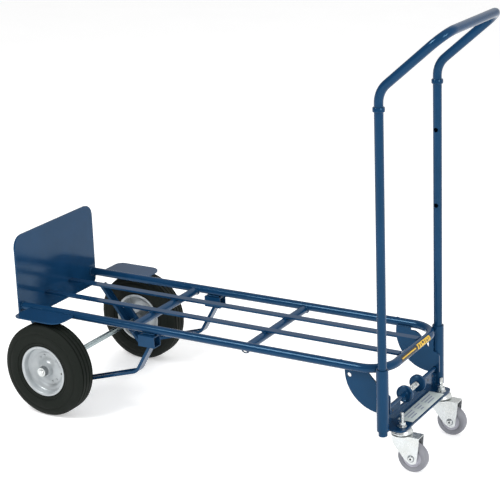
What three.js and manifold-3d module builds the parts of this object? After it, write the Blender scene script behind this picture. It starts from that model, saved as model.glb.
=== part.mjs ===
// Convertible hand truck, shown as a platform truck: two big wheels under the toe plate, two
// swivel casters under the folding handle unit. Millimetres, +Z up. Everything is laid out with X
// along the deck (0 over the big-wheel axle, toe plate at -X), Y across it and Z up from the floor;
// the finished group is then shifted so that its origin is the middle of its footprint.
import * as THREE from 'three';
import { mergeVertices } from 'three/addons/utils/BufferGeometryUtils.js';
import Module from 'manifold-3d';

const wasm = await Module();
wasm.setup();

// ---------------------------------------------------------------- driving dimensions
const GAP = 0.3; // left between pieces that touch
const BIG_WHEEL_RADIUS = 128.5;
const BIG_WHEEL_WIDTH = 68;
const WHEEL_TO_STRUT = 17.5; // air between the strut and the tyre beside it
const RIM_RADIUS = 70;
const HUB_RADIUS = 14;
const HUB_LENGTH = 66;
const AXLE_RADIUS = 8;

const DECK_OVER_TYRE = 8; // from the top of the tyre up to the axis of the frame tube
const FRAME_TUBE = 22.2;
const TUBE_WALL = 1.6;
const RAIL_SPACING = 320; // between the rail axes
const LOOP_END_X = 965.5; // axis of the frame's end bar
const LOOP_CORNER_RADIUS = 68;
const CROSS_TUBE = 22.2;
const CROSS_TUBE_X = [231, 578];
const DECK_BAR_WIDTH = 21;
const DECK_BAR_THICKNESS = 5;
const DECK_BAR_Y = 54;

const TOE_FACE_X = -126.4; // the face towards the deck
const TOE_THICKNESS = 5;
const TOE_OVERHANG = 16; // past the axis of each rail
const TOE_ABOVE = 200; // over the axis of the frame tube
const TOE_BELOW = 43;
const TOE_TOP_RADIUS = 32;
const TOE_BOTTOM_RADIUS = 25;

const GUARD_THICKNESS = 3;
const GUARD_TO_TYRE = 9; // air between the tyre and the guard over it
const GUARD_COVERS = 60; // how much of the tyre's width is under the guard
const GUARD_X = [-93, 58];

const STRUT_WIDTH = 25;
const STRUT_HEIGHT = 8;
const STRUT_WALL = 2.5;
const STRUT_START_X = -95; // outer corners of the bent channel: under the rail,
const STRUT_START_DROP = 37; // (below the axis of the rail)
const STRUT_LOW = [30, -58.5]; // beside the wheel, as X and Z from the axle,
const STRUT_KNEE = [250, 9.5]; // and below the handle guide, from the axle too
const AXLE_EAR_WIDTH = 30;
const AXLE_EAR_LENGTH = 92;
const AXLE_EAR_THICKNESS = 5;

const SLEEVE_WALL = 2.9;
const SLEEVE_CLEARANCE = 1; // between the sleeve and the tube sliding in it
const SLEEVE_TO_PLATE = 0.7; // air between the sleeve and the latch plate beside it
const SLEEVE_RISE = 7; // above the axis of the rail
const HANDLE_TUBE = 22.2;
const COLLAR_Z = 908;
const SLIDE_REST = 3.5; // between the collar and the sleeve with the handle pushed in
const SLIDE_MIDDLE = 433;
const GRIP_LEAN = 164; // how far the grip stands out from the handle tubes
const GRIP_Z = 1092;
const GRIP_BEND_Z = 950; // where the leaning part leaves the upright legs
const GRIP_CORNER_RADIUS = 48;
const GRIP_BEND_RADIUS = 60;
const COLLAR_LENGTH = 11;
const COLLAR_WALL = 3.4;

const PIVOT_TO_END = 15.5; // from the pivot to the axis of the frame's end bar
const PIVOT_DROP = 19; // of the pivot below the axis of the rail
const PIVOT_TO_SLEEVE = 11; // from the pivot forward to the axis of the sleeve
const PIVOT_BOLT_RADIUS = 4;
const PIVOT_BOSS_RADIUS = 9;
const LATCH_DROP = 86; // of the latch rods below the pivot
const LATCH_ROD_RADIUS = 5.2;
const LATCH_HOLE_RADIUS = 6;
const LATCH_TRAVEL = 15;
const PLATE_THICKNESS = 5;
const PLATE_RADIUS = 98;
const GUIDE_X = [264, 314];
const GUIDE_CLEARANCE = 1.9;
const GUIDE_WALL = 2;

const GRIP_DISC_RADIUS = 22;
const GRIP_DISC_THICKNESS = 10;
const GRIP_DISC_Y = 38;
const SPRING_RADIUS = 7;
const SPRING_LENGTH = 65;
const SPRING_WIRE = 1.6;

const BRACKET_THICKNESS = 4;
const BRACKET_BACK = 5.5; // of the web behind the axis of the sleeves
const SHELF_DEPTH = 52.5;
const CASTER_FORWARD = 29; // of the caster stem, from the axis of the sleeve
const CASTER_INBOARD = 46;
const CASTER_WHEEL_RADIUS = 38;
const CASTER_WHEEL_WIDTH = 25;
const CASTER_TRAIL = 30;
const STEM_RADIUS = 5;
const STEM_HEIGHT = 36.4; // above the shelf
const RACEWAY_RADIUS = 27;
const FORK_OVER_WHEEL = 18.5;
const RACEWAY_HEIGHT = 12.5;
const FORK_WALL = 2;
const FORK_CLEARANCE = 1.4; // between a fork leg and the wheel
const CASTER_BOLT_RADIUS = 4;

// ---------------------------------------------------------------- sizes that follow
const tubeRadius = FRAME_TUBE / 2;
const railY = RAIL_SPACING / 2;
const railStart = TOE_FACE_X + GAP;
const handleRadius = HANDLE_TUBE / 2;
const sleeveBore = handleRadius + SLEEVE_CLEARANCE;
const sleeveRadius = sleeveBore + SLEEVE_WALL;
const axleZ = BIG_WHEEL_RADIUS;
const deckZ = 2 * BIG_WHEEL_RADIUS + DECK_OVER_TYRE; // axis of the frame tube
const strutOuterY = railY + STRUT_WIDTH / 2;
const wheelY = strutOuterY + WHEEL_TO_STRUT + BIG_WHEEL_WIDTH / 2;
const crossRadius = CROSS_TUBE / 2;
const plateOuterY = railY - tubeRadius - 2 * GAP; // outer face of the latch plates
const plateInnerY = plateOuterY - PLATE_THICKNESS;
const sleeveY = plateOuterY + SLEEVE_TO_PLATE + sleeveRadius;
const pivotX = LOOP_END_X - PIVOT_TO_END;
const pivotZ = deckZ - PIVOT_DROP;
const sleeveX = pivotX + PIVOT_TO_SLEEVE;
const sleeveTop = deckZ + SLEEVE_RISE;
const latchZ = pivotZ - LATCH_DROP;
const rodTipY = plateInnerY - 0.8; // drawn position
const guideInside = handleRadius + GUIDE_CLEARANCE;
const guideOutside = guideInside + GUIDE_WALL;
const foldedSleeveZ = pivotZ - PIVOT_TO_SLEEVE; // sleeve axis once folded under the rails
const railBottom = deckZ - tubeRadius;
const hubInnerY = wheelY - HUB_LENGTH / 2;
const hubOuterY = wheelY + HUB_LENGTH / 2;
const forkTop = 2 * CASTER_WHEEL_RADIUS + FORK_OVER_WHEEL;
const shelfTop = forkTop + GAP + RACEWAY_HEIGHT + GAP + BRACKET_THICKNESS;
const sleeveBottom = shelfTop + 1.4;
const handleTubeBottom = forkTop + 5.5;
const slideTravel = COLLAR_Z - COLLAR_LENGTH / 2 - sleeveTop - SLIDE_REST;
const webBackX = sleeveX - BRACKET_BACK;
const shelfFrontX = webBackX + SHELF_DEPTH;
const casterX = sleeveX + CASTER_FORWARD;
const casterY = sleeveY - CASTER_INBOARD;
const gripX = sleeveX + GRIP_LEAN;
const bracketTop = latchZ - LATCH_ROD_RADIUS - GAP; // the rods slide along it

// ---------------------------------------------------------------- materials
const finish = (color, roughness, metalness) =>
  new THREE.MeshStandardMaterial({ color, roughness, metalness });
const blueEnamel = finish(0x1f4a8c, 0.28, 0.1);
const zinc = finish(0xb9c2c6, 0.32, 0.9);
const tyreRubber = finish(0x1c201f, 0.85, 0);
const rimPaint = finish(0xd5d8de, 0.35, 0.4);
const greyRubber = finish(0x8f9297, 0.6, 0);
const hubPlastic = finish(0xc4c5cc, 0.45, 0);

// ---------------------------------------------------------------- geometry helpers
function solid(geometry) {
  const plain = geometry.clone();
  plain.deleteAttribute('normal');
  plain.deleteAttribute('uv');
  const merged = mergeVertices(plain, 1e-4);
  return new wasm.Manifold(new wasm.Mesh({
    numProp: 3,
    vertProperties: new Float32Array(merged.attributes.position.array),
    triVerts: new Uint32Array(merged.index.array),
  }));
}

function geometryOf(body) {
  const mesh = body.getMesh();
  const geometry = new THREE.BufferGeometry();
  geometry.setAttribute('position', new THREE.BufferAttribute(mesh.vertProperties, 3));
  geometry.setIndex(new THREE.BufferAttribute(mesh.triVerts, 1));
  geometry.computeVertexNormals();
  return geometry;
}

const cut = (body, ...tools) => geometryOf(
  tools.reduce((left, tool) => left.subtract(solid(tool)), solid(body)));
const join = (...bodies) => geometryOf(
  bodies.slice(1).reduce((left, body) => left.add(solid(body)), solid(bodies[0])));

// A curve whose steps fall exactly on the stations given, each {point, tangent}.
class StationCurve extends THREE.Curve {
  constructor(stations) {
    super();
    this.stations = stations;
  }

  at(u, key) {
    const place = u * (this.stations.length - 1);
    const low = Math.min(Math.floor(place), this.stations.length - 2);
    return this.stations[low][key].clone().lerp(this.stations[low + 1][key], place - low);
  }

  getPoint(u) { return this.at(u, 'point'); }

  getPointAt(u) { return this.at(u, 'point'); }

  getTangentAt(u) { return this.at(u, 'tangent').normalize(); }
}

// Stations along a polyline whose corners are rounded by the radii given for the inner points.
function roundedStations(points, radii, arcSteps = 6) {
  const stations = [];
  const directions = points.slice(1).map((point, i) => point.clone().sub(points[i]).normalize());
  stations.push({ point: points[0].clone(), tangent: directions[0] });
  for (let i = 1; i < points.length - 1; i += 1) {
    const [before, after] = [directions[i - 1], directions[i]];
    const turn = before.angleTo(after);
    const reach = radii[i - 1] * Math.tan(turn / 2);
    const start = points[i].clone().addScaledVector(before, -reach);
    const side = after.clone().addScaledVector(before, -after.dot(before)).normalize();
    for (let step = 0; step <= arcSteps; step += 1) {
      const angle = (turn * step) / arcSteps;
      const point = start.clone()
        .addScaledVector(before, radii[i - 1] * Math.sin(angle))
        .addScaledVector(side, radii[i - 1] * (1 - Math.cos(angle)));
      const tangent = before.clone().multiplyScalar(Math.cos(angle))
        .addScaledVector(side, Math.sin(angle));
      stations.push({ point, tangent });
    }
  }
  stations.push({ point: points.at(-1).clone(), tangent: directions.at(-1) });
  return stations;
}

function circleShape(radius, hole = 0, sides = 20, holeSides = sides) {
  const ring = (r, n) => Array.from({ length: n }, (_, i) => new THREE.Vector2(
    r * Math.cos((2 * Math.PI * i) / n), r * Math.sin((2 * Math.PI * i) / n)));
  const shape = new THREE.Shape(ring(radius, sides));
  if (hole > 0) shape.holes.push(new THREE.Path(ring(hole, holeSides).reverse()));
  return shape;
}

// A round bar, or a tube where wall is given, along straight runs with rounded corners.
function bentTube(points, radii, radius, wall = 0, sides = 16, arcSteps = 5) {
  const stations = roundedStations(points, radii, arcSteps);
  return new THREE.ExtrudeGeometry(circleShape(radius, wall ? radius - wall : 0, sides), {
    steps: stations.length - 1,
    extrudePath: new StationCurve(stations),
    curveSegments: sides,
  });
}

const vector = (x, y, z) => new THREE.Vector3(x, y, z);
const bar = (from, to, radius, wall = 0, sides = 16) => bentTube([from, to], [], radius, wall, sides);

// Outline drawn in X and Z, given thickness along Y from y0 to y1.
function plateXZ(shape, y0, y1, curveSegments = 8) {
  const geometry = new THREE.ExtrudeGeometry(shape, {
    depth: y1 - y0, bevelEnabled: false, curveSegments,
  });
  geometry.rotateX(Math.PI / 2); // shape's y becomes Z, depth runs towards -Y
  geometry.translate(0, y1, 0);
  return geometry;
}

// Outline drawn in X and Y, given thickness along Z.
function plateXY(shape, z0, z1, curveSegments = 8) {
  const geometry = new THREE.ExtrudeGeometry(shape, {
    depth: z1 - z0, bevelEnabled: false, curveSegments,
  });
  geometry.translate(0, 0, z0);
  return geometry;
}

function box(x0, x1, y0, y1, z0, z1) {
  const geometry = new THREE.BoxGeometry(x1 - x0, y1 - y0, z1 - z0);
  geometry.translate((x0 + x1) / 2, (y0 + y1) / 2, (z0 + z1) / 2);
  return geometry;
}

// Polygon with each corner rounded by its own radius.
function roundedShape(corners, arcSteps = 4) {
  const points = [];
  corners.forEach(([x, y, radius = 0], i) => {
    const [px, py] = corners.at(i - 1);
    const [nx, ny] = corners[(i + 1) % corners.length];
    const corner = new THREE.Vector2(x, y);
    if (!radius) {
      points.push(corner);
      return;
    }
    const before = corner.clone().sub(new THREE.Vector2(px, py)).normalize();
    const after = new THREE.Vector2(nx, ny).sub(corner).normalize();
    const turn = Math.acos(THREE.MathUtils.clamp(before.dot(after), -1, 1));
    const reach = radius * Math.tan(turn / 2);
    const side = after.clone().addScaledVector(before, -after.dot(before)).normalize();
    for (let step = 0; step <= arcSteps; step += 1) {
      const angle = (turn * step) / arcSteps;
      points.push(corner.clone().addScaledVector(before, radius * Math.sin(angle) - reach)
        .addScaledVector(side, radius * (1 - Math.cos(angle))));
    }
  });
  return new THREE.Shape(points);
}

// Turned piece: profile of [radius, height] points, spun about Z.
function turned(profile, sides = 32) {
  const points = profile.map(([r, h]) => new THREE.Vector2(r, h));
  if (THREE.ShapeUtils.area(points) < 0) points.reverse();
  return new THREE.LatheGeometry(points, sides).rotateX(Math.PI / 2);
}

// Turned about a line along Y. Heights in the profile are distances from the truck's middle.
function turnedAcross(profile, x, z, sides = 32) {
  return turned(profile, sides).rotateX(-Math.PI / 2).translate(x, 0, z);
}

const across = (x, z, y0, y1, radius, sides = 12) => bar(vector(x, y0, z), vector(x, y1, z), radius, 0, sides);

// ---------------------------------------------------------------- assembling
const truck = new THREE.Group();
const sides = [['near', -1], ['far', 1]];

function add(name, geometry, material) {
  const mesh = new THREE.Mesh(geometry, material);
  mesh.name = name;
  truck.add(mesh);
  return mesh;
}

// Mirrors a piece made for the far side (+Y) onto the near side as well.
function addPair(name, geometry, material) {
  add(`${name}_far`, geometry, material);
  const body = solid(geometry).mirror([0, 1, 0]);
  add(`${name}_near`, geometryOf(body), material);
}

// ---------------------------------------------------------------- frame
function frameLoop() {
  const corner = [LOOP_CORNER_RADIUS, LOOP_CORNER_RADIUS];
  return bentTube([
    vector(railStart, -railY, deckZ), vector(LOOP_END_X, -railY, deckZ),
    vector(LOOP_END_X, railY, deckZ), vector(railStart, railY, deckZ),
  ], corner, tubeRadius, TUBE_WALL, 12, 5);
}

const barBottom = deckZ + tubeRadius - 1.1 - DECK_BAR_THICKNESS;
const crossZ = barBottom - GAP - crossRadius;

function crossTube(x) {
  const rails = [-railY, railY].map((y) => bar(
    vector(x - 40, y, deckZ), vector(x + 40, y, deckZ), tubeRadius + GAP));
  return cut(bar(vector(x, -railY, crossZ), vector(x, railY, crossZ), crossRadius, TUBE_WALL), ...rails);
}

function deckBar(y) {
  const top = barBottom + DECK_BAR_THICKNESS;
  const reach = Math.sqrt(tubeRadius ** 2 - (barBottom - deckZ) ** 2);
  const half = DECK_BAR_WIDTH / 2;
  return box(railStart, LOOP_END_X - reach - GAP, y - half, y + half, barBottom, top);
}

function toePlate() {
  const half = railY + TOE_OVERHANG;
  const [low, high] = [deckZ - TOE_BELOW, deckZ + TOE_ABOVE];
  const outline = roundedShape([
    [-half, low, TOE_BOTTOM_RADIUS], [half, low, TOE_BOTTOM_RADIUS],
    [half, high, TOE_TOP_RADIUS], [-half, high, TOE_TOP_RADIUS],
  ]);
  const geometry = new THREE.ExtrudeGeometry(outline, { depth: TOE_THICKNESS, bevelEnabled: false });
  geometry.rotateX(Math.PI / 2).rotateZ(Math.PI / 2); // outline now in Y and Z
  geometry.translate(TOE_FACE_X - TOE_THICKNESS, 0, 0);
  return geometry;
}

function wheelGuard() {
  const inner = railY + tubeRadius + GAP;
  const bottom = 2 * BIG_WHEEL_RADIUS + GUARD_TO_TYRE;
  const outer = wheelY - BIG_WHEEL_WIDTH / 2 + GUARD_COVERS;
  return plateXY(roundedShape([
    [GUARD_X[0], inner], [GUARD_X[1] - 5, inner], [GUARD_X[1], inner + 12, 8],
    [GUARD_X[1], outer, 34], [GUARD_X[0], outer, 21],
  ]), bottom, bottom + GUARD_THICKNESS);
}

// The bent channel that carries the axle: toe plate, down past the axle, back up to the guide.
function axleStrut() {
  const guideBottom = foldedSleeveZ - guideOutside - GAP;
  const end = [GUIDE_X[1] - 16, guideBottom];
  const fromAxle = ([x, z]) => [x, axleZ + z];
  const line = [
    [STRUT_START_X, deckZ - STRUT_START_DROP], fromAxle(STRUT_LOW), fromAxle(STRUT_KNEE), end,
  ].map(([x, z]) => vector(x, 0, z));
  const stations = roundedStations(line, [STRUT_HEIGHT + 8, STRUT_HEIGHT + 22], 4);
  const offset = ({ point, tangent }, by) => new THREE.Vector2(
    point.x - tangent.z * by, point.z + tangent.x * by);
  const band = (low, high) => new THREE.Shape([
    ...stations.map((station) => offset(station, low)),
    ...stations.map((station) => offset(station, high)).reverse(),
  ]);
  const inside = strutOuterY - STRUT_WIDTH;
  const channel = cut(
    plateXZ(band(0, STRUT_HEIGHT), inside, strutOuterY),
    plateXZ(band(STRUT_WALL, STRUT_HEIGHT + 6), inside + STRUT_WALL, strutOuterY - STRUT_WALL));
  const along = line[1].clone().sub(line[0]).normalize();
  const middle = vector(0, 0, axleZ).sub(line[0]).dot(along);
  const earCorner = (s, t) => [
    line[0].x + along.x * s - along.z * t, line[0].z + along.z * s + along.x * t];
  const [earStart, earStop] = [middle - AXLE_EAR_LENGTH / 2, middle + AXLE_EAR_LENGTH / 2];
  const ear = roundedShape([
    earCorner(earStart, 1), earCorner(earStop, 1),
    [...earCorner(earStop, AXLE_EAR_WIDTH), 12], [...earCorner(earStart, AXLE_EAR_WIDTH), 12],
  ]);
  const earPlate = plateXZ(ear, strutOuterY - 1, strutOuterY + AXLE_EAR_THICKNESS);
  const [y0, y1] = [inside - 1, strutOuterY + AXLE_EAR_THICKNESS + 1];
  return cut(
    join(channel, earPlate),
    across(0, axleZ, y0, y1, AXLE_RADIUS + GAP),
    bar(vector(TOE_FACE_X, railY, deckZ), vector(0, railY, deckZ), tubeRadius + GAP),
    box(end[0] - 60, end[0] + 60, y0, y1, guideBottom, guideBottom + 40));
}

// Square guide under each rail, which takes the handle tube when the truck is upright.
function handleGuide() {
  const ring = (half) => [[-half, -half], [half, -half], [half, half], [-half, half]]
    .map(([y, z]) => new THREE.Vector2(sleeveY + y, foldedSleeveZ + z));
  const shape = new THREE.Shape(ring(guideOutside));
  shape.holes.push(new THREE.Path(ring(guideInside).reverse()));
  const geometry = new THREE.ExtrudeGeometry(shape, {
    depth: GUIDE_X[1] - GUIDE_X[0], bevelEnabled: false,
  });
  geometry.rotateX(Math.PI / 2).rotateZ(Math.PI / 2);
  geometry.translate(GUIDE_X[0], 0, 0);
  return geometry;
}

// Quarter plate under the loop's corner: an arm for the pivot bolt and two latch holes on an arc,
// the lower one for the platform and the upper one for the upright truck.
function latchPlate() {
  const bend = LOOP_END_X - LOOP_CORNER_RADIUS; // from here the tube turns away from the plate
  const under = railBottom - 0.5;
  const right = pivotX + 23;
  const armFoot = pivotZ - 41;
  const start = Math.PI;
  const stop = 1.5 * Math.PI + Math.asin((right - pivotX) / PLATE_RADIUS);
  const steps = 16;
  const arc = Array.from({ length: steps + 1 }, (_, i) => {
    const angle = start + ((stop - start) * i) / steps;
    return [pivotX + PLATE_RADIUS * Math.cos(angle), pivotZ + PLATE_RADIUS * Math.sin(angle)];
  });
  const shape = roundedShape([
    ...arc, [right, armFoot - 9, 3], [right - 10, armFoot, 3], [pivotX + 7, armFoot, 2],
    [pivotX + 7, under], [pivotX - 6, under], [pivotX - 6, armFoot + 4, 2],
    [pivotX - 16, pivotZ - 17, 6], [pivotX - 34, pivotZ + 2, 6], [bend + 8, under],
    [bend - 4, under], [bend - 4, deckZ - 4], [pivotX - PLATE_RADIUS + 1, deckZ - 4],
  ]);
  const reach = pivotZ - latchZ;
  const offset = sleeveX - pivotX;
  const [y0, y1] = [plateInnerY - 2, plateOuterY + 2];
  return cut(
    join(plateXZ(shape, plateInnerY, plateOuterY),
      across(pivotX, pivotZ - 2, plateInnerY, plateOuterY, PIVOT_BOSS_RADIUS, 16)),
    across(pivotX, pivotZ, y0, y1, PIVOT_BOLT_RADIUS + GAP),
    across(sleeveX, latchZ, y0, y1, LATCH_HOLE_RADIUS),
    across(pivotX - reach, pivotZ - offset, y0, y1, LATCH_HOLE_RADIUS));
}

add('frame_loop', frameLoop(), blueEnamel);
CROSS_TUBE_X.forEach((x, i) => add(`cross_tube_${i + 1}`, crossTube(x), blueEnamel));
sides.forEach(([name, side]) => add(`deck_bar_${name}`, deckBar(side * DECK_BAR_Y), blueEnamel));
add('toe_plate', toePlate(), blueEnamel);
addPair('wheel_guard', wheelGuard(), blueEnamel);
addPair('axle_strut', axleStrut(), blueEnamel);
addPair('handle_guide', handleGuide(), blueEnamel);
addPair('latch_plate', latchPlate(), blueEnamel);

// ---------------------------------------------------------------- axle and big wheels
const axleEnd = hubOuterY + 4;
const spacerStart = strutOuterY + AXLE_EAR_THICKNESS + GAP;

add('axle', across(0, axleZ, -axleEnd, axleEnd, AXLE_RADIUS, 16), zinc);
addPair('axle_spacer', turnedAcross([
  [AXLE_RADIUS + GAP, spacerStart], [12, spacerStart], [12, hubInnerY - GAP],
  [AXLE_RADIUS + GAP, hubInnerY - GAP], [AXLE_RADIUS + GAP, spacerStart],
], 0, axleZ, 16), zinc);
addPair('axle_cap', turnedAcross([
  [0, axleEnd + GAP], [AXLE_RADIUS + GAP, axleEnd + GAP], [AXLE_RADIUS + GAP, hubOuterY + GAP],
  [12.5, hubOuterY + GAP], [12.5, hubOuterY + 3], [10.5, axleEnd + 2.4], [7, axleEnd + 3.6],
  [0, axleEnd + 4],
], 0, axleZ, 16), zinc);

function tyre() {
  const half = BIG_WHEEL_WIDTH / 2;
  const R = BIG_WHEEL_RADIUS;
  const inner = RIM_RADIUS - 2.5;
  const flank = [
    [inner, half - 9], [RIM_RADIUS + 2, half - 5.5], [RIM_RADIUS + 12, half - 1.5], [R - 26, half],
    [R - 14, half - 2], [R - 8, half - 5], [R - 2.6, half - 11], [R - 0.4, half - 20],
  ];
  const profile = [
    ...flank, [R, 0],
    ...flank.map(([r, h]) => [r, -h]).reverse(), flank[0],
  ];
  return turnedAcross(profile.map(([r, h]) => [r, wheelY + h]), 0, axleZ, 28);
}

// Pressed rim: outer band with two flanges, dished disc and a collar on the hub.
function rim() {
  const sheet = 2.2;
  const band = RIM_RADIUS - 5.5;
  const lip = BIG_WHEEL_WIDTH / 2 - 9;
  const h = HUB_RADIUS + GAP;
  const profile = [
    [h, 22], [h + sheet, 22], [h + sheet + 4, 9], [30, 4], [44, 4], [52, 8], [band - sheet, 11],
    [band - sheet, lip + 3.2], [RIM_RADIUS, lip + 5], [RIM_RADIUS, lip + 3], [band, lip + 0.8],
    [band, -lip - 0.8], [RIM_RADIUS, -lip - 3], [RIM_RADIUS, -lip - 5], [band - sheet, -lip - 3.2],
    [band - sheet, 8], [53, 5.4], [45, 1.6], [29, 1.6], [h + 1, 5], [h, 8],
  ];
  return turnedAcross([...profile, profile[0]].map(([r, y]) => [r, wheelY + y]), 0, axleZ, 20);
}

function hub() {
  const bore = AXLE_RADIUS + GAP;
  return turnedAcross([
    [bore, hubInnerY], [HUB_RADIUS, hubInnerY], [HUB_RADIUS, hubOuterY], [bore, hubOuterY],
    [bore, hubInnerY],
  ], 0, axleZ, 16);
}

addPair('tyre', tyre(), tyreRubber);
addPair('wheel_rim', rim(), rimPaint);
addPair('wheel_hub', hub(), zinc);

// ---------------------------------------------------------------- folding unit
// Sleeve with its pivot boss and the latch hole in its inboard wall.
function sleeve() {
  const outer = bar(vector(sleeveX, sleeveY, sleeveBottom), vector(sleeveX, sleeveY, sleeveTop),
    sleeveRadius, 0, 20);
  const boss = across(pivotX, pivotZ, plateOuterY + 0.4, sleeveY - 9, PIVOT_BOSS_RADIUS, 16);
  const bore = bar(vector(sleeveX, sleeveY, sleeveBottom - 5),
    vector(sleeveX, sleeveY, sleeveTop + 5), sleeveBore, 0, 20);
  const latch = across(sleeveX, latchZ, sleeveY - sleeveRadius - 2, sleeveY - 4, LATCH_HOLE_RADIUS);
  const bolt = across(pivotX, pivotZ, plateOuterY - 2, sleeveY - 8, PIVOT_BOLT_RADIUS + GAP);
  return cut(join(outer, boss), bore, latch, bolt);
}

function pivotBolt() {
  const head = plateInnerY - GAP;
  const offset = sleeveX - pivotX - PIVOT_BOLT_RADIUS;
  const tip = sleeveY - Math.sqrt(sleeveBore ** 2 - offset ** 2) - 2 * GAP; // short of the bore
  return turnedAcross([
    [0, head - 5.5], [4.6, head - 5.2], [7, head - 3], [7.6, head], [PIVOT_BOLT_RADIUS, head],
    [PIVOT_BOLT_RADIUS, tip], [0, tip],
  ], pivotX, pivotZ, 12);
}

// Angle between the sleeves: upright web behind, shelf in front for the caster stems.
function casterBracket() {
  const half = sleeveY - sleeveRadius - 0.4;
  const clearHalf = plateInnerY - 1.5; // clear of the latch plates as the unit folds
  const shoulder = pivotZ - PLATE_RADIUS - 2;
  const shelfBottom = shelfTop - BRACKET_THICKNESS;
  const web = new THREE.ExtrudeGeometry(roundedShape([
    [-half, shelfBottom], [half, shelfBottom], [half, shoulder], [clearHalf, shoulder],
    [clearHalf, bracketTop, 5], [-clearHalf, bracketTop, 5], [-clearHalf, shoulder],
    [-half, shoulder],
  ]), { depth: BRACKET_THICKNESS, bevelEnabled: false });
  web.rotateX(Math.PI / 2).rotateZ(Math.PI / 2).translate(webBackX, 0, 0);
  const shelf = plateXY(roundedShape([
    [webBackX, -half], [shelfFrontX, -half, 18], [shelfFrontX, half, 18],
    [webBackX, half],
  ]), shelfBottom, shelfTop);
  const room = GRIP_DISC_THICKNESS / 2 + 2.5;
  const slots = sides.map(([, side]) => {
    const ends = [side * (GRIP_DISC_Y - room), side * (GRIP_DISC_Y + LATCH_TRAVEL + room)];
    return box(webBackX - 5, webBackX + BRACKET_THICKNESS + 5,
      Math.min(...ends), Math.max(...ends), latchZ - GRIP_DISC_RADIUS - 2, bracketTop + 10);
  });
  const springRoom = box(webBackX - 5, webBackX + BRACKET_THICKNESS + 5,
    -GRIP_DISC_Y, GRIP_DISC_Y, latchZ - SPRING_RADIUS - 1, bracketTop + 10);
  const stems = sides.map(([, side]) => bar(
    vector(casterX, side * casterY, shelfTop - 20), vector(casterX, side * casterY, shelfTop + 5),
    STEM_RADIUS + 1));
  return cut(join(web, shelf), ...slots, springRoom, ...stems);
}

addPair('sleeve', sleeve(), blueEnamel);
addPair('pivot_bolt', pivotBolt(), zinc);
add('caster_bracket', casterBracket(), blueEnamel);

// ---------------------------------------------------------------- latch
const discInner = GRIP_DISC_Y - GRIP_DISC_THICKNESS / 2;
const discOuter = GRIP_DISC_Y + GRIP_DISC_THICKNESS / 2;
const guidePin = SPRING_RADIUS - SPRING_WIRE - 0.4;

addPair('latch_rod', turnedAcross([
  [0, 12], [guidePin, 12], [guidePin, discInner], [LATCH_ROD_RADIUS, discInner],
  [LATCH_ROD_RADIUS, rodTipY - 1.5], [LATCH_ROD_RADIUS - 1.5, rodTipY], [0, rodTipY],
], sleeveX, latchZ, 16), blueEnamel);

const discBore = LATCH_ROD_RADIUS + GAP;
addPair('latch_grip', turnedAcross([
  [discBore, discInner], [GRIP_DISC_RADIUS - 2, discInner], [GRIP_DISC_RADIUS, discInner + 2],
  [GRIP_DISC_RADIUS, discOuter - 2], [GRIP_DISC_RADIUS - 2, discOuter], [discBore, discOuter],
  [discBore, discInner],
], sleeveX, latchZ, 16), blueEnamel);

const springStart = -SPRING_LENGTH / 2;
add('latch_spring', bar(
  vector(sleeveX, springStart, latchZ), vector(sleeveX, -springStart, latchZ),
  SPRING_RADIUS, SPRING_WIRE, 16), zinc);

// ---------------------------------------------------------------- telescoping handle
const handleTubeTop = COLLAR_Z - 2;

// Tube with a latch hole at each of its three heights, on its inboard side.
function handleTube() {
  const tube = bar(vector(sleeveX, sleeveY, handleTubeBottom),
    vector(sleeveX, sleeveY, handleTubeTop), handleRadius, TUBE_WALL, 12);
  const holes = [0, SLIDE_MIDDLE, slideTravel].map((rise) => across(
    sleeveX, latchZ + rise, sleeveY - handleRadius - 2, sleeveY - 4, LATCH_HOLE_RADIUS));
  return cut(tube, ...holes);
}

function handleLoop() {
  const foot = handleTubeTop + GAP;
  const leg = (y) => [
    vector(sleeveX, y, foot), vector(sleeveX, y, GRIP_BEND_Z), vector(gripX, y, GRIP_Z)];
  const radii = [GRIP_BEND_RADIUS, GRIP_CORNER_RADIUS, GRIP_CORNER_RADIUS, GRIP_BEND_RADIUS];
  return bentTube([...leg(-sleeveY), ...leg(sleeveY).reverse()], radii, handleRadius, TUBE_WALL,
    12, 4);
}

function collar() {
  const bore = handleRadius + GAP;
  const r = handleRadius + COLLAR_WALL;
  const [low, high] = [COLLAR_Z - COLLAR_LENGTH / 2, COLLAR_Z + COLLAR_LENGTH / 2];
  return turned([
    [bore, low], [r - 1, low], [r, low + 1], [r, high - 1], [r - 1, high], [bore, high],
    [bore, low],
  ], 16).translate(sleeveX, sleeveY, 0);
}

addPair('handle_tube', handleTube(), blueEnamel);
addPair('handle_collar', collar(), blueEnamel);
add('handle_loop', handleLoop(), blueEnamel);

// ---------------------------------------------------------------- casters
const racewayBottom = forkTop + GAP;
const racewayTop = racewayBottom + RACEWAY_HEIGHT;
const stemTop = shelfTop + STEM_HEIGHT;
const forkInside = CASTER_WHEEL_WIDTH / 2 + FORK_CLEARANCE;
const wheelX = casterX + CASTER_TRAIL;

function casterStem() {
  return turned([
    [0, racewayBottom], [RACEWAY_RADIUS - 4, racewayBottom], [RACEWAY_RADIUS, racewayBottom + 3],
    [RACEWAY_RADIUS, racewayTop - 4], [RACEWAY_RADIUS - 4, racewayTop], [STEM_RADIUS, racewayTop],
    [STEM_RADIUS, stemTop - 1.5], [STEM_RADIUS - 1.5, stemTop], [0, stemTop],
  ], 16).translate(casterX, casterY, 0);
}

function stemNut() {
  const hex = circleShape(9.8, STEM_RADIUS + GAP, 6, 12);
  return plateXY(hex, shelfTop + GAP, shelfTop + GAP + 12).translate(casterX, casterY, 0);
}

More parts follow.
